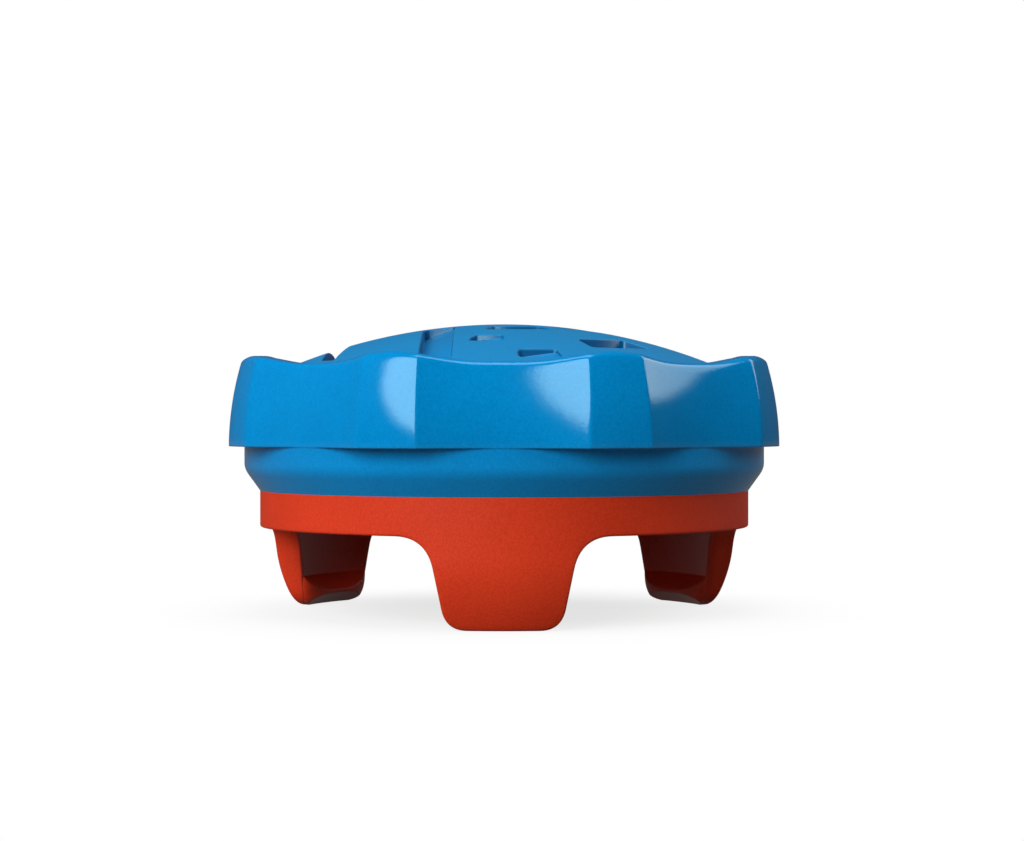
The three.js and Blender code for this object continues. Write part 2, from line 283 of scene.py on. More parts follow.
def capRows():
    # Rows of points round the cap: from the roof of its cavity down to the shoulder, up the outside and
    # in to the dome
    rows = []

    def addRow(angle, radius, height):
        angle, radius, height = np.broadcast_arrays(angle, radius, height, columnShare)[:3]
        turns = [(2 * lobe + 1) * halfPitch for lobe in range(cap["lobeCount"])]
        flat = np.concatenate([onCircle(radius, angle + turn) for turn in turns])
        rows.append(np.column_stack([flat, np.tile(height, cap["lobeCount"])]))

    nominal = rimAt(lobeTop)[0]
    shoulder, ringRadius, bandRadius = grip["shoulder"], grip["ringRadius"], cap["bandRadius"]
    cavity = grip["spigotRadius"] + grip["bondGap"]
    addRow(nominal, cavity, grip["deckTop"])
    addRow(nominal, cavity, shoulder)
    addRow(nominal, ringRadius, shoulder)
    taperTop = shoulder + cap["taperHeight"]
    roundTop = taperTop + cap["roundHeight"]
    flare = bandRadius - ringRadius
    taperReach = flare * cap["taperHeight"] / (cap["taperHeight"] + cap["roundHeight"] / 2)
    for share in np.linspace(0, 1, 4)[1:-1]:
        addRow(nominal, ringRadius + taperReach * share, mix(shoulder, taperTop, share))
    for share in np.linspace(0, 1, 9):
        out = mix(taperReach, flare, 1 - (1 - share) ** 2)
        addRow(nominal, ringRadius + out, mix(taperTop, roundTop, share))

    lowAngle, lowRadius = rimAt(rimBottom)
    ledge = lowRadius - bandRadius
    corner = np.minimum(cap["lowerEdge"], 0.45 * ledge)  # less where the ledge is narrow
    bandTop = rimBottom - cap["lowerEdge"]
    for share in np.linspace(0, 0.9, 3):
        addRow(mix(nominal, lowAngle, share), bandRadius, mix(roundTop, bandTop, share))
    for turn in np.linspace(0, math.pi / 2, 4):
        radius = bandRadius + corner * (1 - np.cos(turn))
        addRow(lowAngle, radius, rimBottom - corner * (1 - np.sin(turn)))
    for inward, rise in edgeArc:
        addRow(lowAngle, lowRadius - corner * inward, rimBottom + corner * rise)

    edge = cap["edgeRadius"]
    topAngle, topRadius, faceTop, crest, ridge = rimTop()
    for share in np.linspace(0, 1, cap["faceRows"])[1:]:
        height = mix(rimBottom + corner, faceTop, share)
        addRow(*rimAt(height), height)
    for turn in np.linspace(faceLean, math.pi / 2, cap["topEdgeRows"])[1:]:
        radius = topRadius - edge * (math.cos(faceLean) - math.cos(turn))
        addRow(topAngle, radius, faceTop + edge * (math.sin(turn) - math.sin(faceLean)))
    for share in np.linspace(1, 0, cap["sweepRows"]):
        radius = mix(cap["fillRadius"], ridge, share)
        addRow(topAngle, radius, topHeight(radius, crest, ridge))
    return rows


tread = {  # pockets in the dome, repeated round the axis, and a straight cut across its side
    "corner": 0.2,
    "topEdge": 0.06,
    "draft": 0.03,
    "floorFillet": 0.06,
    "deepest": 0.5,
    "cutWall": 7.3,
    "cutFloorWidth": 0.52,
    "cutSlopeWidth": 0.42,
    "cutDepth": 0.74,
    "cutWallSlope": 15,
    "cutSoftness": 0.05,
    "cutSteps": 90,  # points along each line of the cut
    "outlineStep": 0.15,
    "cornerSteps": 8,
    "ringGap": 0.2,  # between the rings of points that fill the dome
    "pointGap": 0.22,
    "clearOfCut": 0.08,  # what those points keep to the lines of the cut and of the pockets
    "clearOfPocket": 0.06,
}
channel = {"left": -3.3, "right": -2.0, "near": -8.2, "far": -0.9, "deep": 0.5, "shallow": 0.12}
crownArc = {"inner": 2.6, "outer": 3.9, "start": 258, "end": 303, "deep": 0.26, "shallow": 0.08}
innerNotch = {"inner": 5.3, "outer": 6.3, "start": 257, "end": 270, "deep": 0.32, "shallow": 0.1}
outerNotch = {"inner": 7.5, "outer": 8.4, "start": 274, "end": 286, "deep": 0.34, "shallow": 0.1}
slot = {"inner": 5.9, "outer": 7.2, "start": 299, "end": 324, "deep": 0.36, "shallow": 0.36}
pocketTurns = [(channel, 3), (crownArc, 3), (innerNotch, 3), (outerNotch, 2), (slot, 2)]


def pocketSpine(pocket):
    # A pocket's outline drawn in by its corner radius, with the outward direction at each point
    corner, step, cornerSteps = tread["corner"], tread["outlineStep"], tread["cornerSteps"]
    spine, outward = [], []

    def side(points, directions):
        spine.extend(points)
        outward.extend(directions)

    def turnAt(point, first, last):
        side([point] * cornerSteps, onCircle(1, np.linspace(first, last, cornerSteps)))

    if "left" in pocket:
        left, right = pocket["left"] + corner, pocket["right"] - corner
        near, far = pocket["near"] + corner, pocket["far"] - corner
        corners = np.array([[right, near], [right, far], [left, far], [left, near]])
        for i, point in enumerate(corners):
            heading = (i - 1) * math.pi / 2
            turnAt(point, heading, heading + math.pi / 2)
            following = corners[(i + 1) % 4]
            steps = max(2, int(np.linalg.norm(following - point) / step))
            shares = np.linspace(0, 1, steps + 1)[1:-1, None]
            facing = onCircle(1, heading + math.pi / 2)
            side(mix(point, following, shares), np.tile(facing, (steps - 1, 1)))
        return np.array(spine), np.array(outward)

    start, end = math.radians(pocket["start"]), math.radians(pocket["end"])
    outer, inner = pocket["outer"] - corner, pocket["inner"] + corner
    outerTrim, innerTrim = math.asin(corner / outer), math.asin(corner / inner)
    steps = int(outer * (end - start) / step)
    arc = np.linspace(start + outerTrim, end - outerTrim, steps)
    side(onCircle(outer, arc), onCircle(1, arc))
    turnAt(onCircle(outer, end - outerTrim), end - outerTrim, end + math.pi / 2)
    ends = onCircle(outer, end - outerTrim), onCircle(inner, end - innerTrim)
    shares = np.linspace(0, 1, 8)[1:-1, None]
    side(mix(ends[0], ends[1], shares), np.tile(onCircle(1, end + math.pi / 2), (6, 1)))
    turnAt(ends[1], end + math.pi / 2, end - innerTrim + math.pi)
    arc = np.linspace(end - innerTrim, start + innerTrim, steps)
    side(onCircle(inner, arc), -onCircle(1, arc))
    turnAt(onCircle(inner, start + innerTrim), start + innerTrim + math.pi, start + 1.5 * math.pi)
    ends = onCircle(inner, start + innerTrim), onCircle(outer, start + outerTrim)
    side(mix(ends[0], ends[1], shares), np.tile(onCircle(1, start - math.pi / 2), (6, 1)))
    turnAt(ends[1], start - math.pi / 2, start + outerTrim)
    return np.array(spine), np.array(outward)


def pocketWall():
    # How far in from a pocket's outline each line of its wall lies, and its share of the depth
    top, fillet, deepest = tread["topEdge"], tread["floorFillet"], tread["deepest"]
    upper = [(-top * out, top * down / deepest) for out, down in edgeArc]
    lower = [(tread["draft"] + fillet * inward, 1 - fillet * up / deepest) for up, inward in edgeArc]
    return upper + lower


def cutFloor(x):
    # The side cut's level floor and the slope on its inner side
    slopeTop = tread["cutWall"] - tread["cutFloorWidth"] - tread["cutSlopeWidth"]
    rise = np.maximum(x + tread["cutWall"] - tread["cutFloorWidth"], 0)
    return domeHeight(slopeTop) + tread["cutDepth"] * (rise / tread["cutSlopeWidth"] - 1)


def afterCut(x, height):
    # Height of the dome once the side cut has been taken out of it
    edge, soft = tread["topEdge"], tread["cutSoftness"]
    past = x + tread["cutWall"]
    rounded = edge - np.sqrt(edge**2 - np.clip(past + edge, 0, edge) ** 2)
    wall = height - rounded - tread["cutWallSlope"] * np.maximum(past, 0)
    floor = cutFloor(x)
    near = np.maximum(soft - np.abs(height - floor), 0)
    return np.maximum(wall, np.minimum(height, floor) - near**2 / (4 * soft))


def cutLines():
    # Lines along the side cut: down its wall, over its floor, up its slope and round the slope's top
    reach, steps = cap["domeFoot"] - 0.1, tread["cutSteps"]
    floorEdge = tread["cutFloorWidth"] - tread["cutWall"]
    pasts = [-0.16, -0.06, -0.042, -0.024, -0.01, 0, 0.03, 0.1, 0.22, 0.36]
    lines = []
    for x in [past - tread["cutWall"] for past in pasts] + [floorEdge - 0.03, floorEdge + 0.03]:
        end = math.sqrt(reach**2 - x**2)
        lines.append(np.column_stack([np.full(steps, x), np.linspace(-end, end, steps)]))
    runOut = cap["domeRadius"] ** 2 - (cutFloor(floorEdge) - domeCentre) ** 2
    y = math.sqrt(runOut - floorEdge**2) * np.linspace(-0.985, 0.985, steps)
    low, high = np.full(steps, floorEdge), np.full(steps, floorEdge + 2 * tread["cutSlopeWidth"])
    for _ in range(30):  # halves in on the edge where the slope meets the dome
        middle = (low + high) / 2
        above = domeHeight(np.hypot(middle, y)) > cutFloor(middle)
        low, high = np.where(above, middle, low), np.where(above, high, middle)
    wide = low - floorEdge > 0.1
    for share, offset in [(0.35, 0), (0.7, 0), (1, -0.03), (1, 0), (1, 0.03)]:
        x = mix(floorEdge + 0.03, low, share) + offset
        lines.append(np.column_stack([x, y])[wide])
    return lines


def fillDome(skin, rim):
    # The top inside its fill circle, with the tread's pockets sunk into the dome
    points, chains, depthShare, owner = [], [], [], []

    def addChain(loop, share, pocketId, closed=True):
        first = len(points)
        points.extend(loop)
        depthShare.extend([share] * len(loop))
        owner.extend([pocketId] * len(loop))
        chains.append(list(range(first, len(points))) + [first] * closed)

    addChain(rim, 0, -1)
    turned = []
    wall = pocketWall()
    corner = tread["corner"]
    for pocket, turns in pocketTurns:
        spine, outward = pocketSpine(pocket)
        outline = spine + outward * corner
        extent = outline[:, 0].min(), outline[:, 0].max()
        for turn in range(turns):
            spin = turnBy(turn, 3)[:2, :2]
            turned.append({"pocket": pocket, "spin": spin, "outline": outline @ spin, "extent": extent})
            for inset, share in wall:
                addChain((spine + outward * (corner - inset)) @ spin, share, len(turned) - 1)

    grid = [(0.0, 0.0)]
    ringGap = tread["ringGap"]
    for ring, radius in enumerate(np.arange(ringGap, cap["fillRadius"] - 0.1, ringGap)):
        count = max(6, int(2 * math.pi * radius / tread["pointGap"]))
        grid.extend(onCircle(radius, (np.arange(count) + ring % 2 / 2) * 2 * math.pi / count))
    grid = np.array(grid)
    gridOwner = np.full(len(grid), -1)
    lines = cutLines()
    for line in lines:
        addChain(line, 0, -1, closed=False)
    dense = np.concatenate(lines)
    clear = np.array([np.min(((dense - p) ** 2).sum(axis=1)) > tread["clearOfCut"] ** 2 for p in grid])
    for index, entry in enumerate(turned):
        inside = insideOf(entry["outline"], grid)
        gap = distanceTo(entry["outline"], grid)
        floorGap = tread["draft"] + tread["floorFillet"] + tread["clearOfPocket"]
        clear &= np.where(inside, gap > floorGap, gap > tread["topEdge"] + tread["clearOfPocket"])
        gridOwner[inside] = index
    points.extend(grid[clear])  # the last lies on bare dome, outside the pockets
    owner.extend(gridOwner[clear])
    depthShare.extend(np.where(gridOwner[clear] >= 0, 1.0, 0.0))

    owner, depthShare = np.array(owner), np.array(depthShare)
    topAngle, _, _, crest, ridge = rimTop()
    period = 2 * halfPitch

    def lift(flat, source):
        turn = (np.arctan2(flat[:, 1], flat[:, 0]) - halfPitch - topAngle[0]) % period + topAngle[0]
        here = [np.interp(turn, topAngle, values, period=period) for values in (crest, ridge)]
        height = topHeight(np.hypot(flat[:, 0], flat[:, 1]), *here)
        for index, entry in enumerate(turned):
            mine = owner[source] == index
            local = flat[mine] @ entry["spin"].T
            left, right = entry["extent"]
            pocket = entry["pocket"]
            across = np.clip((local[:, 0] - left) / (right - left), 0, 1)
            depth = mix(pocket["deep"], pocket["shallow"], across) * depthShare[source][mine]
            reach = np.sqrt(cap["domeRadius"] ** 2 - local[:, 0] ** 2) - depth
            height[mine] = domeCentre + np.sqrt(reach**2 - local[:, 1] ** 2)
        return np.column_stack([flat, afterCut(flat[:, 0], height)])

    skin.addFlat(points, chains, lift, lambda centres: np.full(len(centres), True))


def keyCircle(middle, radius, height):
    flat = middle + onCircle(radius, aroundKey)
    return np.column_stack([flat, np.full(len(flat), height)])


def addKeys(skin):
    # The cap's keys, whose ends show in the holes of the deck
    radius, edge, point = grip["keyRadius"] - grip["bondGap"], 0.06, 0.001
    low, high = grip["deckUnderside"] + 0.03, grip["deckTop"] + 0.1
    rounded = [(radius - edge * inward, low + edge * up) for inward, up in edgeArc]
    profile = [(point, low), *rounded, (radius, high), (point, high)]
    for middle in keyMiddles:
        ids = skin.addGrid([keyCircle(middle, *place) for place in profile])
        skin.faces.append(tuple(ids[0]))
        skin.faces.append(tuple(ids[-1]))


base = {
    "footInset": 0.8,
    "bendHeight": 2.7,
    "footWidth": 0.35,
    "barbFlat": 0.5,  # half the width of a hook's tip; its flanks curve out to the sides of the leg
    "barbReach": 0.55,
    "barbLeadHeight": 0.47,
    "barbTipHeight": 0.15,
    "barbCatchHeight": 0.68,
    "barbRounding": 0.065,
    "barbStep": 0.07,
    "barbSunk": 0.18,  # how deep the hook's root lies in the wall
    "bossRadius": 5.2,
    "bossDepth": 0.7,
    "legCount": 3,
    "legHalfTop": 2.95,
    "legHalfFoot": 2.2,
    "legFillet": 1.25,
    "footCorner": 0.8,
    "edge": 0.09,  # rounds the edges of the ring and the legs
    "socketFillet": 0.15,
    "sectorSteps": 96,
    "ringSteps": 60,  # along the ring's lower edge, from a leg to the middle of the gap
    "sideStep": 0.25,
    "gridGap": 0.27,  # between the points that fill the walls
    "gridClear": 0.07,  # what those points keep to the wall's outline
    "deckPoints": 14,  # on a ring of the deck's faces, for each millimetre of its radius
}
# Rotations that carry the front leg to each of the legs
legSpins = [turnBy(leg, base["legCount"]) for leg in range(base["legCount"])]


def quadratic(start, control, end, steps):
    shares = np.linspace(0, 1, steps)[:, None]
    start, control, end = map(np.array, (start, control, end))
    return start * (1 - shares) ** 2 + 2 * control * shares * (1 - shares) + end * shares**2


def legSide():
    # Half the outline of a leg, seen from outside: from the middle of its foot up to the ring's edge
    top = grip["ringBottom"]
    side = np.array([base["legHalfFoot"] - base["legHalfTop"], -top])
    side /= np.linalg.norm(side)
    filletEnd = np.array([base["legHalfTop"], top]) + side * base["legFillet"]
    cornerStart = np.array([base["legHalfFoot"], 0]) - side * base["footCorner"]
    flat = base["legHalfFoot"] - base["footCorner"]
    sole = np.column_stack([np.linspace(0, flat, 14), np.zeros(14)])
    corner = quadratic([flat, 0], [base["legHalfFoot"], 0], cornerStart, 12)
    straight = mix(cornerStart, filletEnd, np.linspace(0, 1, 20)[:, None])
    outer = [base["legHalfTop"] + base["legFillet"], top]
    fillet = quadratic(filletEnd, [base["legHalfTop"], top], outer, 14)
    return np.concatenate([sole, corner[1:], straight[1:], fillet[1:]])


def outerRadius(height):
    bend = np.clip(1 - height / base["bendHeight"], 0, 1)
    return grip["ringRadius"] - base["footInset"] * bend**2


def innerRadius(height):
    foot = grip["ringRadius"] - base["footInset"] - base["footWidth"]
    return np.interp(height, [0, base["barbLeadHeight"]], [foot, grip["socketRadius"]])


def addBarbs(skin):
    # The hooks: a rounded section drawn straight across each leg, and back into its wall at the flanks.
    # The section's first and last corners lie inside the wall.
    foot = grip["ringRadius"] - base["footInset"] - base["footWidth"]
    tip = grip["socketRadius"] - base["barbReach"]
    low = base["barbLeadHeight"]
    high = low + base["barbTipHeight"]
    top = high + base["barbCatchHeight"]
    root = grip["socketRadius"] + base["barbSunk"]
    corners = np.array([[foot + 0.12, 0.02], [foot, 0], [tip, low], [tip, high], [root, top + 0.22]])
    rounded = [corners[0], corners[1]]
    for before, corner, after in zip(corners[1:], corners[2:], corners[3:]):
        start = corner + (before - corner) * base["barbRounding"] / np.linalg.norm(before - corner)
        end = corner + (after - corner) * base["barbRounding"] / np.linalg.norm(after - corner)
        rounded.extend(quadratic(start, corner, end, 5))
    rounded.append(corners[-1])
    section = [corners[0]]
    for before, after in zip(rounded, rounded[1:]):
        steps = max(1, int(np.linalg.norm(after - before) / base["barbStep"]))
        section.extend(mix(before, after, share) for share in np.linspace(0, 1, steps + 1)[1:])
    section = np.array(section)

    legEdge = legSide()
    legEdge = legEdge[legEdge[:, 1] > 0]
    flat = base["barbFlat"]
    # A flank ends just short of the leg's side, and its upper end sinks into the wall
    flare = np.interp(section[:, 1], legEdge[:, 1], legEdge[:, 0]) - 0.004 - flat
    flare -= 0.12 * np.clip(section[:, 1] - 0.85, 0, 1)
    across = [(share * flat, 0, 1) for share in np.linspace(0, 1, 5)[:-1]]
    across += [(flat, math.sin(t), math.cos(t)) for t in np.linspace(0, math.pi / 2, 20)]
    rows = []
    for side in (-1, 1):
        for inner, outward, reach in across[:0:-1] if side < 0 else across:
            radius = np.maximum(section[:, 0], mix(foot + 0.02, tip, reach))
            aside = side * (inner + flare * outward)
            rows.append(np.column_stack([aside, -np.sqrt(radius**2 - aside**2), section[:, 1]]))
    for spin in legSpins:
        ids = skin.addGrid([row @ spin for row in rows])
        skin.faces.extend([tuple(ids[0]), tuple(ids[-1])])


def wallSheet(skin, radiusAt, mean, inward, topHeight, gridHeights):
    # One face of the ring and its legs, drawn unrolled for one leg's share of the turn, with its rounded
    # lower edge. Returns the last line of that edge, which meets the other face's through the wall.
    half = legSide()
    sectorEnd = math.pi / base["legCount"]
    angles = np.arcsin(half[:, 0] / radiusAt(half[:, 1]))
    ringAngles = np.linspace(angles[-1], sectorEnd, base["ringSteps"])[1:]
    angles = np.concatenate([angles, ringAngles])
    heights = np.concatenate([half[:, 1], np.full(len(ringAngles), grip["ringBottom"])])
    angles = np.concatenate([-angles[:0:-1], angles])
    heights = np.concatenate([heights[:0:-1], heights])
    line = np.column_stack([angles * mean, heights])
    along = np.gradient(line, axis=0)
    along[0] = along[-1] = (1, 0)
    along /= np.linalg.norm(along, axis=1)[:, None]
    up = np.column_stack([-along[:, 1], along[:, 0]])
    edge = base["edge"]

    def place(flat, depth):
        radius = radiusAt(flat[:, 1]) - inward * depth
        return np.column_stack([onCircle(radius, flat[:, 0] / mean - math.pi / 2), flat[:, 1]])

    rows = [place(line + up * edge * rise, edge * inward) for rise, inward in edgeArc]
    topPlaces = np.linspace(sectorEnd, -sectorEnd, base["sectorSteps"] + 1) * mean
    topLine = np.column_stack([topPlaces, np.full(len(topPlaces), topHeight)])
    sideHeights = np.arange(grip["ringBottom"] + 0.3, topHeight - 0.1, base["sideStep"])
    right = np.column_stack([np.full(len(sideHeights), sectorEnd * mean), sideHeights])
    left = right[::-1] * [-1, 1]
    outline = np.concatenate([line + up * edge, right, topLine, left])
    gridPlaces = np.arange(-sectorEnd * mean, sectorEnd * mean, base["gridGap"])
    grid = np.array([(x, z) for z in gridHeights for x in gridPlaces])
    grid = grid[insideOf(outline, grid)]
    grid = grid[distanceTo(outline, grid) > base["gridClear"]]
    points = np.concatenate([outline, grid])
    chain = list(range(len(outline))) + [0]
    for spin in legSpins:
        skin.addGrid([row @ spin for row in rows], closed=False)

        def lift(flat, source):
            return place(flat, 0) @ spin

        skin.addFlat(points, [chain], lift, lambda centres: insideOf(outline, centres))
    return rows[-1]


def wholeCircle(radius, height):
    count = base["sectorSteps"] * base["legCount"]
    angles = np.arange(count) * 2 * math.pi / count - math.pi / 2 + math.pi / base["legCount"]
    return np.column_stack([onCircle(radius, angles), np.full(count, height)])


def deckFace(skin, rim, holeRadius, heightAt, rings):
    # A round face of the deck with the key holes left open
    points = list(rim[:, :2])
    chains = [list(range(len(points))) + [0]]
    for middle in keyMiddles:
        first = len(points)
        points.extend(middle + onCircle(holeRadius, aroundKey))
        chains.append(list(range(first, len(points))) + [first])
    grid = [(0.0, 0.0)]
    for radius in rings:
        count = max(8, int(radius * base["deckPoints"]))
        grid.extend(onCircle(radius, np.arange(count) * 2 * math.pi / count))
    grid = np.array(grid)

    def toNearestKey(places):
        return np.min([np.linalg.norm(places - middle, axis=1) for middle in keyMiddles], axis=0)

    points.extend(grid[toNearestKey(grid) > holeRadius + 0.1])

    def lift(flat, source):
        return np.column_stack([flat, heightAt(np.hypot(flat[:, 0], flat[:, 1]))])

    inHole = holeRadius * 0.996  # a drawn hole has flat sides, which lie just inside its circle
    skin.addFlat(points, chains, lift, lambda centres: toNearestKey(centres) > inHole)


def makeBase(material):
    skin = Skin()
    edge, fillet = base["edge"], base["socketFillet"]
    underside, deckTop, shoulder = grip["deckUnderside"], grip["deckTop"], grip["shoulder"]
    socket, ring, spigot = grip["socketRadius"], grip["ringRadius"], grip["spigotRadius"]
    outerHeights = np.arange(0.25, shoulder - 0.1, 0.22)
    innerHeights = np.arange(0.15, underside - fillet - 0.1, 0.25)
    outerLine = wallSheet(skin, outerRadius, ring, 1, shoulder, outerHeights)
    innerLine = wallSheet(skin, innerRadius, socket, -1, underside - fillet, innerHeights)
    for spin in legSpins:
        lines = [mix(outerLine, innerLine, share) @ spin for share in np.linspace(0, 1, 4)]
        skin.addGrid(lines, closed=False)
    addBarbs(skin)

    corner = []
    for down, inward in edgeArc:
        corner.append(wholeCircle(socket - fillet * inward, underside - fillet * down))
    skin.addGrid(corner)
    sphere = (base["bossRadius"] ** 2 + base["bossDepth"] ** 2) / (2 * base["bossDepth"])

    def undersideHeight(radius):
        inner = np.minimum(radius, base["bossRadius"])
        return underside - (np.sqrt(sphere**2 - inner**2) - (sphere - base["bossDepth"]))

    # The rings of points on the underside are closer together at the boss's edge
    rings = np.concatenate([np.arange(0.4, 5.0, 0.35), [5.1, 5.2, 5.3], np.arange(5.6, 8.6, 0.4)])
    hole, bevel = grip["keyRadius"], edge / 2
    deckFace(skin, corner[-1], hole + bevel, undersideHeight, rings)
    profile = [(hole + bevel * out, underside + bevel * up) for out, up in edgeArc] + [(hole, deckTop)]
    for middle in keyMiddles:
        skin.addGrid([keyCircle(middle, *place) for place in profile])
    top = wholeCircle(spigot, deckTop)
    skin.addGrid([wholeCircle(ring, shoulder), wholeCircle(spigot, shoulder), top])
    deckFace(skin, top, hole, lambda radius: deckTop + 0 * radius, np.arange(1.0, 9.3, 0.8))
    skin.build("clipBaseMoulding", material, "clip_base")


def makeCap(material):
    skin = Skin()
    rows = capRows()
    ids = skin.addGrid(rows)
    skin.faces.append(tuple(ids[0]))  # roof of the cavity, on the deck
    fillDome(skin, rows[-1][:, :2])
    addKeys(skin)
    skin.build("softCapMoulding", material, "soft_cap")


def startMaterial(name):
    material = bpy.data.materials.new(name)
    material.use_nodes = True
    tree = material.node_tree
    tree.nodes.clear()
    return material, tree


def rangeOf(fromMin, fromMax, toMin=0, toMax=1, interpolation="LINEAR"):
    # Settings of a node that carries one range of values over to another
    settings = {"interpolation_type": interpolation, "From Min": fromMin, "From Max": fromMax}
    settings.update({"To Min": toMin, "To Max": toMax})
    return settings


def reachFrom(tree, place, centreHeight, flatten):
    # Distance from a point on the axis, or from the axis itself
    settings = {"operation": "MULTIPLY_ADD", 1: (1, 1, 0 if flatten else 1)}
    settings[2] = (0, 0, 0 if flatten else -centreHeight * mm)
    moved = addNode(tree, "ShaderNodeVectorMath", settings, {0: place}).outputs["Vector"]
    return addNode(tree, "ShaderNodeVectorMath", {"operation": "LENGTH"}, {0: moved}).outputs["Value"]


def mouldedSurface(tree, finish, place):
    # Colour and normal of a moulded surface: slow drift between two near colours, with a fine even grain
    # that speckles it faintly and stands in low relief
    grainSettings = {"Scale": 1 / (finish["grainSize"] * mm), "Detail": 2.0, "Roughness": 0.6}
    grain = addNode(tree, "ShaderNodeTexNoise", grainSettings, {"Vector": place}).outputs["Fac"]
    driftSettings = {"Scale": 1 / (finish["mottleSize"] * mm), "Detail": 3.0, "Roughness": 0.6}
    drift = addNode(tree, "ShaderNodeTexNoise", driftSettings, {"Vector": place}).outputs["Fac"]
    speckSettings = rangeOf(0.3, 0.7, -finish["speckle"], finish["speckle"])
    speck = addNode(tree, "ShaderNodeMapRange", speckSettings, {"Value": grain}).outputs["Result"]
    adding = {"operation": "ADD", "use_clamp": True}
    share = addNode(tree, "ShaderNodeMath", adding, {0: drift, 1: speck})
    colours = {6: linearColour(finish["deepColour"]), 7: linearColour(finish["colour"])}
    tone = addNode(tree, "ShaderNodeMix", {"data_type": "RGBA", **colours}, {0: share.outputs["Value"]})
    bumpSettings = {"Strength": 0.4, "Distance": finish["grainDepth"] * mm}
    bump = addNode(tree, "ShaderNodeBump", bumpSettings, {"Height": grain})
    return tone.outputs[2], bump.outputs["Normal"]


capFinish = {
    "colour": "#0094db",
    "deepColour": "#0087cc",
    "fieldColour": "#1484bc",
    "fieldShare": 0.5,  # how far the field's colour covers the moulded one
    # painted shade for the steep walls of the pockets, which are the same blue but lie in shadow
    "paintedWallShade": "#00588e",
    "roughness": 0.1,
    "fieldRoughness": 0.5,
    "pocketRoughness": 0.3,
    "gloss": 0.65,
    "glossColour": "#c0f4ff",  # tint of what the surface mirrors
    "grainSize": 0.09,  # millimetres; the real grain is finer, and is drawn coarser so that it shows
    "grainDepth": 0.006,
    "mottleSize": 2.5,
    "speckle": 0.6,  # how far the grain shifts the tone between the two colours
    "fieldDepths": (0.08, 0.03),  # millimetres below the dome, from a pocket to the field
    "fieldEdge": (9.2, 9.8),  # radii in millimetres, over which the dome's finish gives way to the rim's
    "paintedShadeTilt": (0.5, 0.85),  # upward part of the normal, from a pocket's wall to the level parts, over which the painted shade fades out
}


def mouldedElastomer():
    # Thermoplastic elastomer: saturated colour, smooth enough on the rim to mirror a lamp softly, with a
    # fine even grain, and more matte on the raised field of the tread. Painted shade darkens the steep
    # walls of the tread's pockets
    material, tree = startMaterial("mouldedElastomer")
    coordinates = addNode(tree, "ShaderNodeTexCoord").outputs
    place = coordinates["Object"]
    fromCentre = reachFrom(tree, place, domeCentre, False)
    fromAxis = reachFrom(tree, place, 0, True)
    low, high = [(cap["domeRadius"] - depth) * mm for depth in capFinish["fieldDepths"]]
    raisedRange = rangeOf(low, high)
    raised = addNode(tree, "ShaderNodeMapRange", raisedRange, {"Value": fromCentre}).outputs["Result"]
    near, far = [radius * mm for radius in capFinish["fieldEdge"]]
    domeRange = rangeOf(near, far, 1, 0)
    onDome = addNode(tree, "ShaderNodeMapRange", domeRange, {"Value": fromAxis}).outputs["Result"]
    multiply = {"operation": "MULTIPLY"}
    field = addNode(tree, "ShaderNodeMath", multiply, {0: raised, 1: onDome}).outputs["Value"]
    # Painted shade: the steep walls of the pockets on the dome get a darker blue, standing in for the
    # shadow in them
    facing = addNode(tree, "ShaderNodeSeparateXYZ", links={0: coordinates["Normal"]})
    paintedShadeRange = rangeOf(*capFinish["paintedShadeTilt"], 1, 0)
    steep = addNode(tree, "ShaderNodeMapRange", paintedShadeRange, {"Value": facing.outputs["Z"]})
    wall = addNode(tree, "ShaderNodeMath", multiply, {0: steep.outputs["Result"], 1: onDome})

    fieldRange = rangeOf(0, 1, capFinish["roughness"], capFinish["fieldRoughness"])
    fieldRough = addNode(tree, "ShaderNodeMapRange", fieldRange, {"Value": field})
    pocketRange = rangeOf(0, 1, capFinish["roughness"], capFinish["pocketRoughness"])
    pocketRough = addNode(tree, "ShaderNodeMapRange", pocketRange, {"Value": onDome})
    roughLinks = {0: fieldRough.outputs["Result"], 1: pocketRough.outputs["Result"]}
    rougher = addNode(tree, "ShaderNodeMath", {"operation": "MAXIMUM"}, roughLinks)

    colour, normal = mouldedSurface(tree, capFinish, place)
    paintedShadeTone = {"data_type": "RGBA", 7: linearColour(capFinish["paintedWallShade"])}
    shaded = addNode(tree, "ShaderNodeMix", paintedShadeTone, {0: wall.outputs["Value"], 6: colour})
    # The raised field of the dome is drawn in a duller, greyer blue
    dullRange = rangeOf(0, 1, 0, capFinish["fieldShare"])
    dulled = addNode(tree, "ShaderNodeMapRange", dullRange, {"Value": field}).outputs["Result"]
    fieldTone = {"data_type": "RGBA", 7: linearColour(capFinish["fieldColour"])}
    fieldBlend = addNode(tree, "ShaderNodeMix", fieldTone, {0: dulled, 6: shaded.outputs[2]})
    settings = {"IOR": 1.5, "Specular IOR Level": capFinish["gloss"]}
    settings["Specular Tint"] = linearColour(capFinish["glossColour"])
    links = {"Base Color": fieldBlend.outputs[2], "Roughness": rougher.outputs["Value"], "Normal": normal}
    shader = addNode(tree, "ShaderNodeBsdfPrincipled", settings, links)
    addNode(tree, "ShaderNodeOutputMaterial", links={"Surface": shader.outputs["BSDF"]})
    return material


baseFinish = {
    "colour": "#e84220",
    "deepColour": "#d8391b",
    "roughness": 0.5,
    "gloss": 0.14,
    "hookRoughness": 0.3,
    "hookGloss": 0.35,
    "hookRadii": (9.0, 9.2),  # millimetres from the axis, from the hooks' finish to that of the outside
    "grainSize": 0.08,  # coarser than the real grain, so that it shows
    "grainDepth": 0.012,
    "mottleSize": 3.0,
    "speckle": 0.6,
}


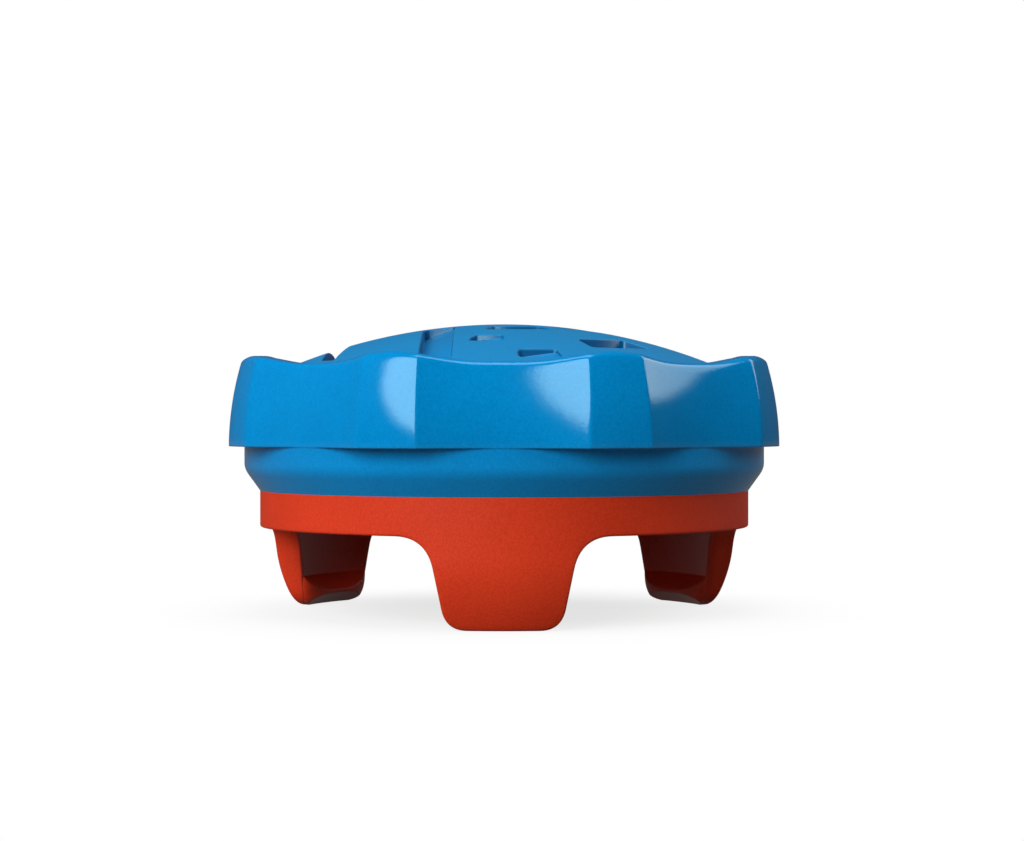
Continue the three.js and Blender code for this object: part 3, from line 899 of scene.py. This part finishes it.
def mouldedAbs():
    # ABS: matte and grained outside, and left smooth by polished steel on the hooks
    material, tree = startMaterial("mouldedAbs")
    place = addNode(tree, "ShaderNodeTexCoord").outputs["Object"]
    fromAxis = reachFrom(tree, place, 0, True)
    near, far = [radius * mm for radius in baseFinish["hookRadii"]]
    outerRange = rangeOf(near, far)
    outside = addNode(tree, "ShaderNodeMapRange", outerRange, {"Value": fromAxis}).outputs["Result"]
    roughRange = rangeOf(0, 1, baseFinish["hookRoughness"], baseFinish["roughness"])
    rough = addNode(tree, "ShaderNodeMapRange", roughRange, {"Value": outside})
    glossRange = rangeOf(0, 1, baseFinish["hookGloss"], baseFinish["gloss"])
    gloss = addNode(tree, "ShaderNodeMapRange", glossRange, {"Value": outside})
    colour, normal = mouldedSurface(tree, baseFinish, place)
    links = {"Base Color": colour, "Roughness": rough.outputs["Result"], "Normal": normal}
    links["Specular IOR Level"] = gloss.outputs["Result"]
    shader = addNode(tree, "ShaderNodeBsdfPrincipled", {"IOR": 1.5}, links)
    addNode(tree, "ShaderNodeOutputMaterial", links={"Surface": shader.outputs["BSDF"]})
    return material


print("cap")
makeCap(mouldedElastomer())
print("base")
makeBase(mouldedAbs())

studio = {
    "floorColour": "#f4f4f4",
    "floorBounce": "#666666",
    "floorGlow": 0.75,  # share of plain white in what the camera sees of the sheet under the grip
    "fadeStart": 4,  # millimetres from the middle, where that share starts to rise
    "fadeEnd": 17,
    "floorSheen": 0.14,  # what polished faces see of the sheet
    "floorHalf": 2000,  # half the sheet's width in millimetres
    "ambient": 0.11,
    "darkRoom": 0.02,  # what polished faces see beyond the lamps, in front and behind
    "backdrop": 0.065,
}


def makeFloor():
    material, tree = startMaterial("paperSweep")
    rays = addNode(tree, "ShaderNodeLightPath").outputs
    toneSettings = {"data_type": "RGBA"}
    toneSettings[6] = linearColour(studio["floorBounce"])
    toneSettings[7] = linearColour(studio["floorColour"])
    tone = addNode(tree, "ShaderNodeMix", toneSettings, {0: rays["Is Camera Ray"]})
    paper = addNode(tree, "ShaderNodeBsdfDiffuse", links={"Color": tone.outputs[2]})

    place = addNode(tree, "ShaderNodeNewGeometry").outputs["Position"]
    away = addNode(tree, "ShaderNodeVectorMath", {"operation": "LENGTH"}, {0: place})
    fadeStart, fadeEnd = studio["fadeStart"] * mm, studio["fadeEnd"] * mm
    fadeRange = rangeOf(fadeStart, fadeEnd, studio["floorGlow"], 1, "SMOOTHSTEP")
    fade = addNode(tree, "ShaderNodeMapRange", fadeRange, {"Value": away.outputs["Value"]})
    seenLinks = {0: fade.outputs["Result"], 1: rays["Is Camera Ray"]}
    seen = addNode(tree, "ShaderNodeMath", {"operation": "MULTIPLY"}, seenLinks)
    eitherLinks = {0: seen.outputs["Value"], 1: rays["Is Glossy Ray"]}
    either = addNode(tree, "ShaderNodeMath", {"operation": "MAXIMUM"}, eitherLinks)
    strengths = {"data_type": "FLOAT", 2: 1.0, 3: studio["floorSheen"]}
    strength = addNode(tree, "ShaderNodeMix", strengths, {0: rays["Is Glossy Ray"]})
    white = {"Color": (1, 1, 1, 1)}
    glow = addNode(tree, "ShaderNodeEmission", white, {"Strength": strength.outputs[0]})
    sheetLinks = {0: either.outputs["Value"], 1: paper.outputs["BSDF"], 2: glow.outputs["Emission"]}
    sheet = addNode(tree, "ShaderNodeMixShader", links=sheetLinks)
    addNode(tree, "ShaderNodeOutputMaterial", links={"Surface": sheet.outputs["Shader"]})

    mesh = bpy.data.meshes.new("floor")
    half = studio["floorHalf"] * mm
    corners = [(-half, -half, 0), (half, -half, 0), (half, half, 0), (-half, half, 0)]
    mesh.from_pydata(corners, [], [(0, 1, 2, 3)])
    mesh.materials.append(material)
    floor = bpy.data.objects.new("floor", mesh)
    scene.collection.objects.link(floor)


def makeWorld():
    world = bpy.data.worlds.new("studio")
    scene.world = world
    world.use_nodes = True
    tree = world.node_tree
    tree.nodes.clear()
    rays = addNode(tree, "ShaderNodeLightPath").outputs
    heading = addNode(tree, "ShaderNodeTexCoord").outputs["Generated"]
    parts = addNode(tree, "ShaderNodeSeparateXYZ", links={0: heading})
    roomRange = rangeOf(0, 0.8, studio["darkRoom"], studio["backdrop"], "SMOOTHSTEP")
    polished = addNode(tree, "ShaderNodeMapRange", roomRange, {"Value": parts.outputs["Y"]})
    ambient = {"data_type": "FLOAT", 2: studio["ambient"]}
    ambientLinks = {0: rays["Is Glossy Ray"], 3: polished.outputs["Result"]}
    unseen = addNode(tree, "ShaderNodeMix", ambient, ambientLinks)
    seenLinks = {0: rays["Is Camera Ray"], 2: unseen.outputs[0]}
    level = addNode(tree, "ShaderNodeMix", {"data_type": "FLOAT", 3: 1.0}, seenLinks)
    white = {"Color": (1, 1, 1, 1)}
    sky = addNode(tree, "ShaderNodeBackground", white, {"Strength": level.outputs[0]})
    addNode(tree, "ShaderNodeOutputWorld", links={"Surface": sky.outputs["Background"]})


# Round softboxes: azimuth from the front, plus to the right, elevation, and half the angle that the grip
# sees, in degrees. level is how bright a white surface facing the lamp gets from it. The one without
# shine doesn't show in polished faces.
lamps = {
    "softboxLeft": {"azimuth": -29.5, "elevation": 25.1, "halfAngle": 20.3, "level": 0.8},
    "fillFarLeft": {"azimuth": -80, "elevation": 20, "halfAngle": 25, "level": 0.3, "shine": False},
    "overhead": {"azimuth": 0, "elevation": 80, "halfAngle": 18, "level": 0.32},
    "kickerRight": {"azimuth": 114.5, "elevation": 30.2, "halfAngle": 20.7, "level": 0.36},
}
lampDistance = 300 * mm
lampAim = Vector((0, 0, 8 * mm))


def addLamp(name, azimuth, elevation, halfAngle, level, shine=True):
    lamp = bpy.data.lights.new(name, "AREA")
    lamp.shape = "DISK"
    lamp.size = 2 * lampDistance * math.tan(math.radians(halfAngle))
    lamp.energy = level * (math.pi * lampDistance) ** 2
    lampObject = bpy.data.objects.new(name, lamp)
    a, e = math.radians(azimuth), math.radians(elevation)
    toLamp = Vector((math.sin(a) * math.cos(e), -math.cos(a) * math.cos(e), math.sin(e)))
    lampObject.location = lampAim + toLamp * lampDistance
    lampObject.rotation_euler = toLamp.to_track_quat("Z", "Y").to_euler()
    lampObject.visible_camera = False
    lampObject.visible_glossy = shine
    scene.collection.objects.link(lampObject)


makeFloor()
makeWorld()
for lampName, lampSettings in lamps.items():
    addLamp(lampName, **lampSettings)
print("studio")

# The photograph's view, all in millimetres: a level camera in front, a little right of the axis
photoView = {"lens": 80.3, "sensor": 36, "distance": 96, "height": 8.0, "aside": 0.323}
camera = bpy.data.cameras.new("camera")
camera.lens = photoView["lens"]
camera.sensor_width = photoView["sensor"]
camera.clip_start, camera.clip_end = 0.01, 10
cameraObject = bpy.data.objects.new("camera", camera)
cameraPlace = photoView["aside"] * mm, -photoView["distance"] * mm, photoView["height"] * mm
cameraObject.location = cameraPlace
cameraObject.rotation_euler = (math.pi / 2, 0, 0)
scene.collection.objects.link(cameraObject)
scene.camera = cameraObject
scene.view_settings.view_transform = "Standard"
